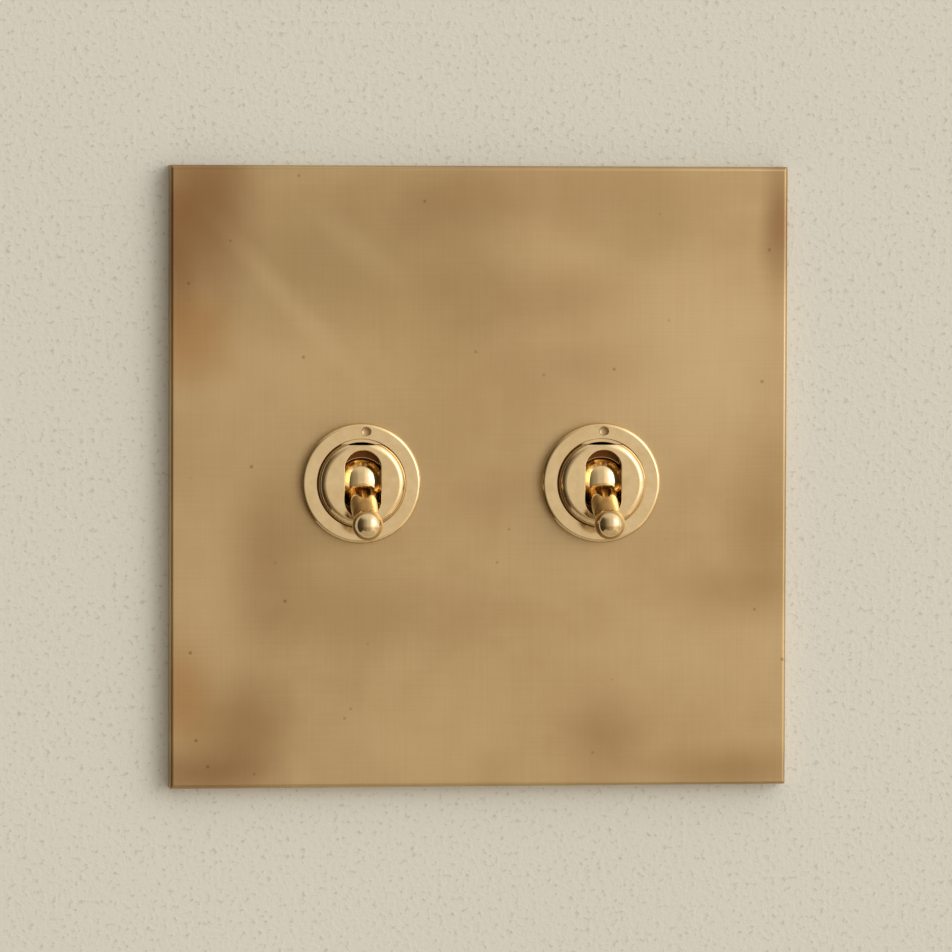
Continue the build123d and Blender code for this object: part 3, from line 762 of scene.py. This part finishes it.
# %% Softened copies of the pieces behind
SOFT_EDGES = {
    "yoke": ("base", "zinc_steel", 0.12),
    "earth_clamp": ("base", "plain_brass", 0.08),
    "earth_screw": ("base", "plain_brass", 0.06),
}
SOFT_SIDE_EDGES = {
    "lock_nut": ("base", "plain_brass", 0.08),
    "housing": ("base", "dark_moulding", 0.16),
    "cradle": ("base", "zinc_steel", 0.10),
    "terminal_upper": ("base", "contact_brass", 0.08),
    "terminal_common": ("base", "contact_brass", 0.08),
    "terminal_lower": ("base", "contact_brass", 0.08),
    "terminal_screws": ("base", "screw_steel", 0.06),
}
for name, values in SOFT_SIDE_EDGES.items():
    for side in SIDES:
        SOFT_EDGES[f"{name}_{side}"] = values


def softened_copy(node, width):
    """A merged copy of a node's mesh with narrow bevels on its sharp edges."""
    mesh = bmesh.new()
    mesh.from_mesh(frame["nodes"][node].data)
    mesh.transform(frame["nodes"][node].matrix_world)
    bmesh.ops.scale(mesh, verts=mesh.verts, vec=(1 / MM, 1 / MM, 1 / MM))
    bmesh.ops.remove_doubles(mesh, verts=mesh.verts, dist=0.002)
    bmesh.ops.dissolve_limit(mesh, angle_limit=radians(0.5), verts=mesh.verts, edges=mesh.edges)
    sharp_edges = [edge for edge in mesh.edges
                   if len(edge.link_faces) == 2 and edge.calc_face_angle(0) > radians(40)]
    round_edges(mesh, sharp_edges, width, 2)
    return to_piece(mesh, f"soft_{node}")


for node, (body, slot, width) in SOFT_EDGES.items():
    finish_piece(softened_copy(node, width), body, node, MATERIALS[slot])

# %% [markdown]
# ## Box screws
# The two long screws show their threads behind the yoke. A thread is a zigzag outline that climbs
# as it turns, so one pitch of it is spun with a step along the screw. Its two ends are cut square
# and drawn in, as the die and the cut-off tool leave them.

# %% Box screws
SCREW_PITCH = 0.6
SCREW_RADIUS = 1.75
SCREW_NECK = 1.55
SCREW_CORE = SCREW_RADIUS - 0.54 * SCREW_PITCH
SCREW_HEAD = (3.3, 1.6, 0.45)
SCREW_SLOT = 0.8
screw_low, screw_high = box_mm("box_screws")
SCREW_TURNS = {screw_low.x + SCREW_HEAD[0]: 18.0, screw_high.x - SCREW_HEAD[0]: -40.0}
SCREW_NECK_END = 4.1


def thread_mesh(start, end, taper=0.5):
    """A closed bar with a thread on it from start to end, drawn in at both ends."""
    mesh = bmesh.new()
    turns = int((end - start) / SCREW_PITCH) + 2
    first = start - SCREW_PITCH
    draw(mesh, (SCREW_CORE, first), (SCREW_CORE, first + 0.08), (SCREW_RADIUS, first + 0.3),
         (SCREW_RADIUS, first + 0.36), (SCREW_CORE, first + SCREW_PITCH))
    steps = 28
    bmesh.ops.spin(mesh, geom=mesh.verts[:] + mesh.edges[:], cent=(0, 0, 0), axis=(0, 1, 0),
                   dvec=(0, SCREW_PITCH / steps, 0), angle=2 * pi * turns, steps=steps * turns,
                   use_duplicate=False)
    bmesh.ops.remove_doubles(mesh, verts=mesh.verts, dist=0.01)
    for plane, keep in ((start, 1), (end, -1)):
        bmesh.ops.bisect_plane(mesh, geom=mesh.verts[:] + mesh.edges[:] + mesh.faces[:],
                               plane_co=(0, plane, 0), plane_no=(0, -keep, 0),
                               clear_outer=True)
        rim = [edge for edge in mesh.edges
               if edge.is_boundary and all(abs(v.co.y - plane) < 0.001 for v in edge.verts)]
        bmesh.ops.contextual_create(mesh, geom=rim)
    for vert in mesh.verts:
        inset = min(vert.co.y - start, end - vert.co.y)
        narrow = 1 - 0.22 * max(0.0, 1 - inset / taper)
        vert.co.x *= narrow
        vert.co.z *= narrow
    bmesh.ops.recalc_face_normals(mesh, faces=mesh.faces)
    return mesh


def screw_blank_mesh():
    """The head and the plain neck of a box screw, before the slot is sawn."""
    mesh = bmesh.new()
    radius, height, edge = SCREW_HEAD
    front, seat = screw_low.y, screw_low.y + height
    draw(mesh, (0, front), (radius - edge, front), (radius - edge, front + edge, 90, 6),
         (radius, seat - 0.08), (radius - 0.08, seat), (SCREW_NECK, seat),
         (SCREW_NECK, SCREW_NECK_END), (0, SCREW_NECK_END))
    turn(mesh, 64)
    return mesh


def joined(pieces, name):
    """Makes one object of several and throws the old ones away."""
    mesh = bmesh.new()
    for piece in pieces:
        mesh.from_mesh(piece.data)
        bpy.data.objects.remove(piece)
    data = bpy.data.meshes.new(name)
    mesh.to_mesh(data)
    mesh.free()
    whole = bpy.data.objects.new(name, data)
    bpy.context.scene.collection.objects.link(whole)
    shade(whole, 32)
    return whole


screw_parts = []
for x, angle in SCREW_TURNS.items():
    blank = to_piece(screw_blank_mesh(), "screw blank", (x, 0, 0))
    saw = box_mesh((-4, screw_low.y - 1, -SCREW_SLOT / 2),
                   (4, screw_low.y + SCREW_SLOT, SCREW_SLOT / 2))
    bmesh.ops.rotate(saw, verts=saw.verts, cent=(0, 0, 0),
                     matrix=Matrix.Rotation(radians(angle), 3, "Y"))
    carve(blank, to_piece(saw, "saw", (x, 0, 0), weighted=False))
    thread = thread_mesh(SCREW_NECK_END, screw_high.y)
    screw_parts += [blank, to_piece(thread, "thread", (x, 0, 0))]
finish_piece(joined(screw_parts, "threaded_box_screws"), "base", "box_screws",
             MATERIALS["screw_steel"])

# %% [markdown]
# ## Everything else keeps its node
# The small working pieces inside the housings have the right shape already, so each node gets its
# finish put into the slots that it has.

# %% Finishes for the nodes that stay
for part in frame["record"]["subparts"]:
    node = frame["nodes"][part["node"]]
    for index in range(len(node.material_slots)):
        node.material_slots[index].material = MATERIALS[part["material_slot"]]

# %% [markdown]
# ## Wall and floor
# The switch hangs on a pale painted wall, 1.2 m above the floor. Seen from behind, a real wall
# would hide everything, so its material lets a ray through where it meets the back. It has the
# opening of a wall box behind the plate, because the switches reach through it.

# %% Wall and floor


def painted(name, low, high):
    """Pale textured paint with fine grit, clear from behind."""
    material, tree, shader, place = new_material(name)
    clouds = add(tree, "ShaderNodeTexNoise", Vector=place, Scale=16.0, Detail=1.0).outputs[0]
    colour = mix(tree, clouds, low, high)
    grit = add(tree, "ShaderNodeTexNoise", Vector=place, Scale=1300.0, Detail=2.0,
               Roughness=0.6).outputs[0]
    tree.links.new(mix(tree, ramp(tree, grit, 0.55, 0.72, 0.0, 0.40), colour, PAINT_SHADE),
                   shader.inputs["Base Color"])
    shader.inputs["Roughness"].default_value = 0.85
    bump = add(tree, "ShaderNodeBump", Strength=0.55, Distance=0.00015, Height=grit)
    tree.links.new(bump.outputs[0], shader.inputs["Normal"])
    clear = tree.nodes.new("ShaderNodeBsdfTransparent")
    either = tree.nodes.new("ShaderNodeMixShader")
    behind = tree.nodes.new("ShaderNodeNewGeometry").outputs["Backfacing"]
    tree.links.new(behind, either.inputs[0])
    tree.links.new(shader.outputs[0], either.inputs[1])
    tree.links.new(clear.outputs[0], either.inputs[2])
    tree.links.new(either.outputs[0], tree.nodes["Material Output"].inputs["Surface"])
    return material


def stage_plane(name, size, matrix, material, opening=0.0):
    """A square plane of the stage, with a square opening in its middle."""
    mesh = bmesh.new()
    bmesh.ops.create_grid(mesh, x_segments=1, y_segments=1, size=size / 2)
    if opening:
        bmesh.ops.inset_individual(mesh, faces=mesh.faces[:], thickness=(size - opening) / 2,
                                   use_even_offset=True)
        middle = min(mesh.faces, key=lambda face: face.calc_center_median().length)
        bmesh.ops.delete(mesh, geom=[middle], context="FACES")
    bmesh.ops.transform(mesh, verts=mesh.verts, matrix=matrix)
    data = bpy.data.meshes.new(name)
    mesh.to_mesh(data)
    mesh.free()
    plane = bpy.data.objects.new(name, data)
    bpy.context.scene.collection.objects.link(plane)
    data.materials.append(material)
    return plane


PAINT_SHADE = rgb(168, 162, 146)
WALL_SIZE, WALL_OPENING = 3.0, 0.074
FLOOR_SIZE, FLOOR_HEIGHT = 2.4, -1.2
wall = stage_plane("wall", WALL_SIZE, Matrix.Rotation(radians(90), 4, "X"),
                   painted("wall paint", rgb(225, 225, 218), rgb(230, 230, 223)), WALL_OPENING)
floor = stage_plane("floor", FLOOR_SIZE, Matrix.Translation((0, 0, FLOOR_HEIGHT)),
                    painted("floor paint", rgb(206, 203, 192), rgb(212, 209, 199)))
print("wall faces:", len(wall.data.polygons), "wall looks to", wall.data.polygons[0].normal[:])

# %% [markdown]
# ## Light
# A bright, large window to the right and a little above gives the soft shadow on the left and the
# streaks on the polished rims. The rest of the room is the world: brighter to the right, dim to
# the left, so that the satin plate darkens towards its left edge.

# %% World


def room_world():
    """The room as light from all round: dim on the left, a tall bright window on the right."""
    world = bpy.data.worlds.new("room")
    world.use_nodes = True
    tree = world.node_tree
    where = tree.nodes.new("ShaderNodeTexCoord").outputs["Generated"]
    split = add(tree, "ShaderNodeSeparateXYZ", n0=where)
    right, up = split.outputs[0], split.outputs[2]
    colour = ROOM_SIDES[0][1]
    for (start, _), (end, tone) in zip(ROOM_SIDES, ROOM_SIDES[1:]):
        colour = mix(tree, ramp(tree, right, start, end), colour, tone)
    ceiling = maths(tree, "MULTIPLY", ramp(tree, up, 0.60, 0.90), 0.6)
    colour = mix(tree, ceiling, colour, ROOM_CEILING)
    colour = mix(tree, ramp(tree, up, -0.08, -0.32), colour, ROOM_FLOOR, "MULTIPLY")
    back = tree.nodes["Background"]
    tree.links.new(colour, back.inputs["Color"])
    back.inputs["Strength"].default_value = 1.02
    return world


# How far to the right a direction points, from -1 to 1, and the light that comes from there
ROOM_SIDES = (
    (-1.00, (0.05, 0.04, 0.03, 1.0)),
    (-0.80, (0.10, 0.08, 0.055, 1.0)),
    (-0.30, (0.43, 0.38, 0.31, 1.0)),
    (-0.10, (0.72, 0.66, 0.58, 1.0)),
    (0.17, (0.78, 0.71, 0.62, 1.0)),
    (0.30, (1.20, 1.14, 1.04, 1.0)),
    (0.60, (1.75, 1.70, 1.60, 1.0)),
    (0.95, (1.20, 1.16, 1.08, 1.0)),
)
ROOM_CEILING = (0.90, 0.87, 0.80, 1.0)
ROOM_FLOOR = (0.62, 0.54, 0.45, 1.0)
bpy.context.scene.world = room_world()

# %% Lamps


def soft_lamp(name, place, width, height, power, colour):
    """A rectangular soft lamp that looks at the switch."""
    data = bpy.data.lights.new(name, "AREA")
    data.shape = "RECTANGLE"
    data.size, data.size_y = width, height
    data.energy = power
    data.color = colour
    lamp = bpy.data.objects.new(name, data)
    lamp.location = place
    lamp.rotation_euler = (-Vector(place)).to_track_quat("-Z", "Y").to_euler()
    bpy.context.scene.collection.objects.link(lamp)
    return lamp


soft_lamp("window", (2.05, -1.85, 0.90), 1.4, 1.8, 15.0, (1.0, 0.97, 0.92))
soft_lamp("rear fill", (-0.9, 1.1, 0.6), 0.8, 0.8, 10.0, (1.0, 0.98, 0.95))

# %% [markdown]
# ## Camera
# The photograph was taken from a little to the left and above, from about 86 cm away with a long
# lens. These values come from the plate's four corners and the two rings in the photograph.

# %% Camera
CAMERA_PLACE = Vector((-0.10556, -0.85417, 0.03772))
CAMERA_TARGET = Vector((-0.000594, -0.003, 0.000132))
CAMERA_ROLL = 0.166
lens = bpy.data.cameras.new("camera")
lens.lens = 234.57
lens.sensor_width = 36.0
lens.clip_start, lens.clip_end = 0.01, 50.0
camera = bpy.data.objects.new("camera", lens)
aim = (CAMERA_TARGET - CAMERA_PLACE).to_track_quat("-Z", "Y")
camera.rotation_euler = (aim @ Quaternion((0, 0, 1), radians(CAMERA_ROLL))).to_euler()
camera.location = CAMERA_PLACE
bpy.context.scene.collection.objects.link(camera)
bpy.context.scene.camera = camera
bpy.context.scene.view_settings.view_transform = "Standard"
